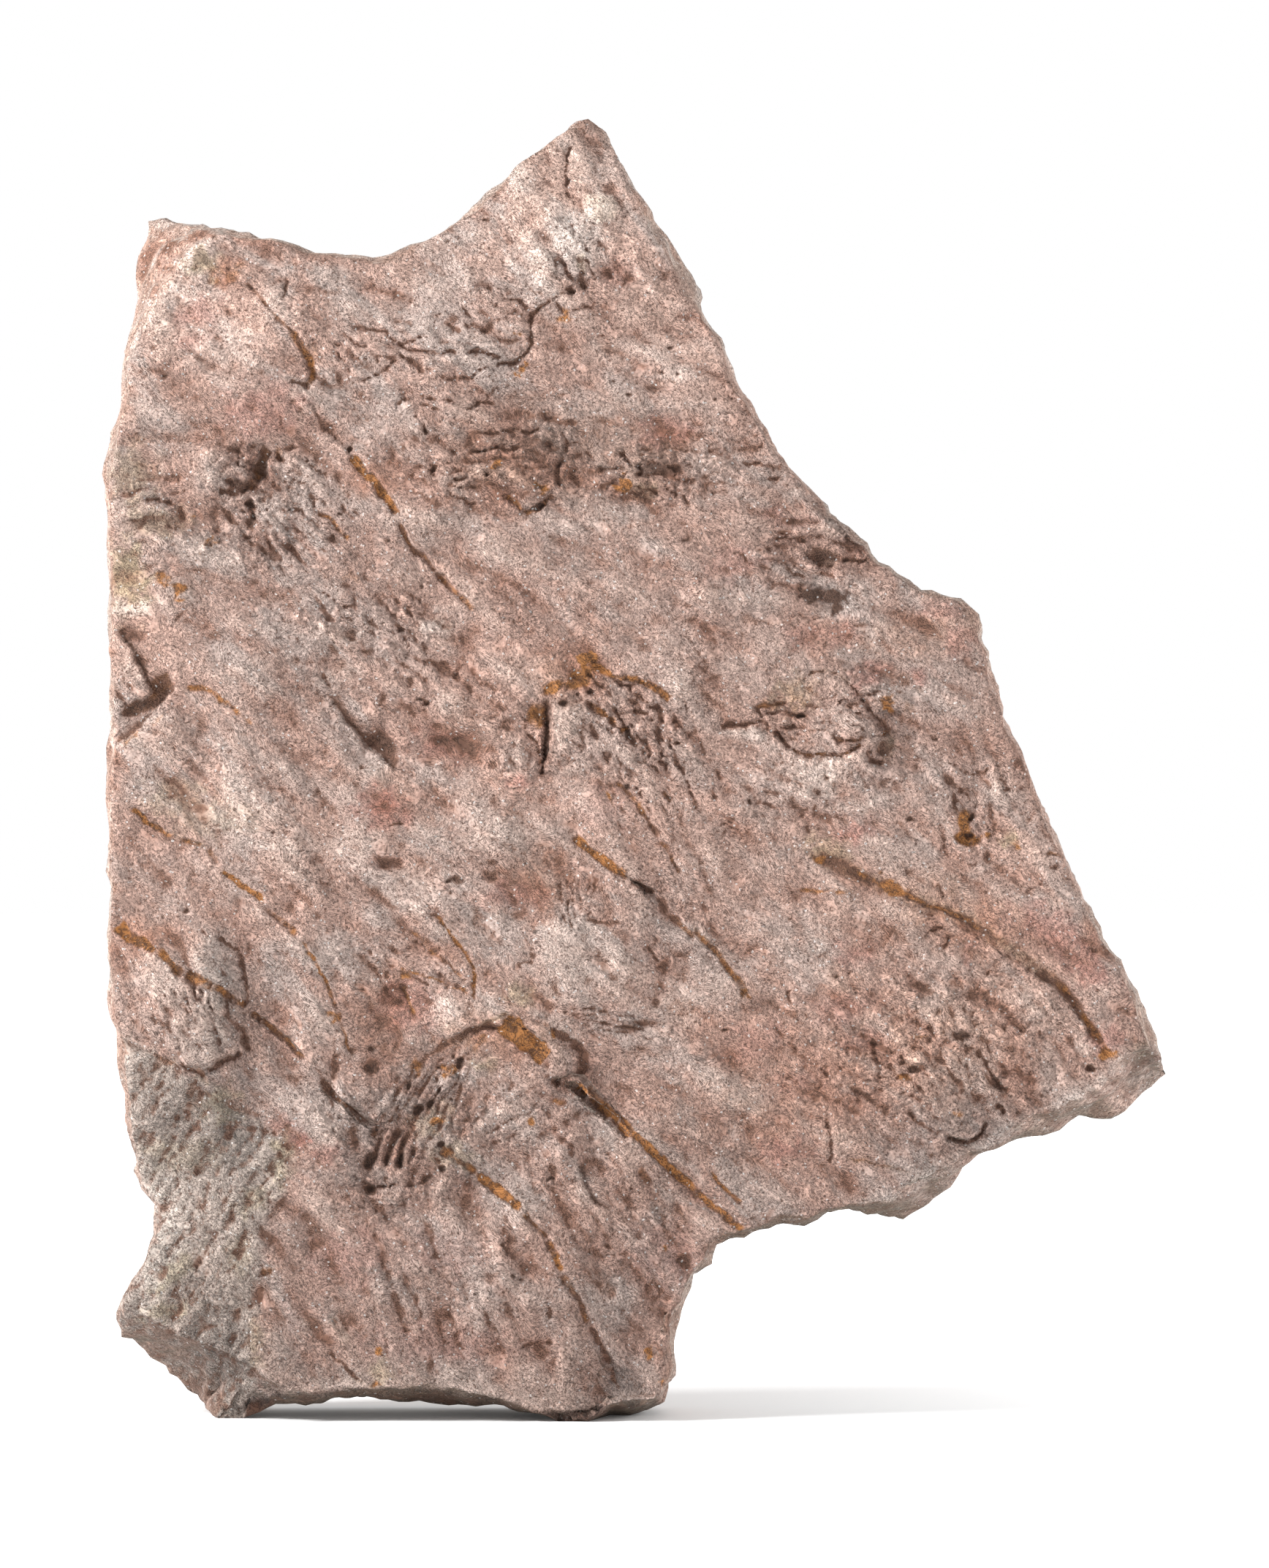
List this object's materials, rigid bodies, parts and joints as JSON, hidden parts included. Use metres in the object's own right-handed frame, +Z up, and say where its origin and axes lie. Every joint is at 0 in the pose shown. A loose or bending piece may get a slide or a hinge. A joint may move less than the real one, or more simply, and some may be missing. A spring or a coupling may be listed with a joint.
{
  "type": "fossil crinoid plate",
  "caption": "Broken sandstone slab standing on its feet, its split face covered with the hollow moulds of crinoid crowns and long stems.",
  "frame": {"origin": "on the surface the slab stands on, under the middle of its box", "axes": "+Z up, the fossil face looks along -Y, +X to the right of that face"},
  "size_m": [0.3532, 0.0504, 0.4312],
  "materials": {
    "sandstone": "rough, dry, fine-grained, with ochre in the stem channels"
  },
  "bodies": {
    "root": {"fossil_slab": "sandstone"}
  },
  "joints": []
}
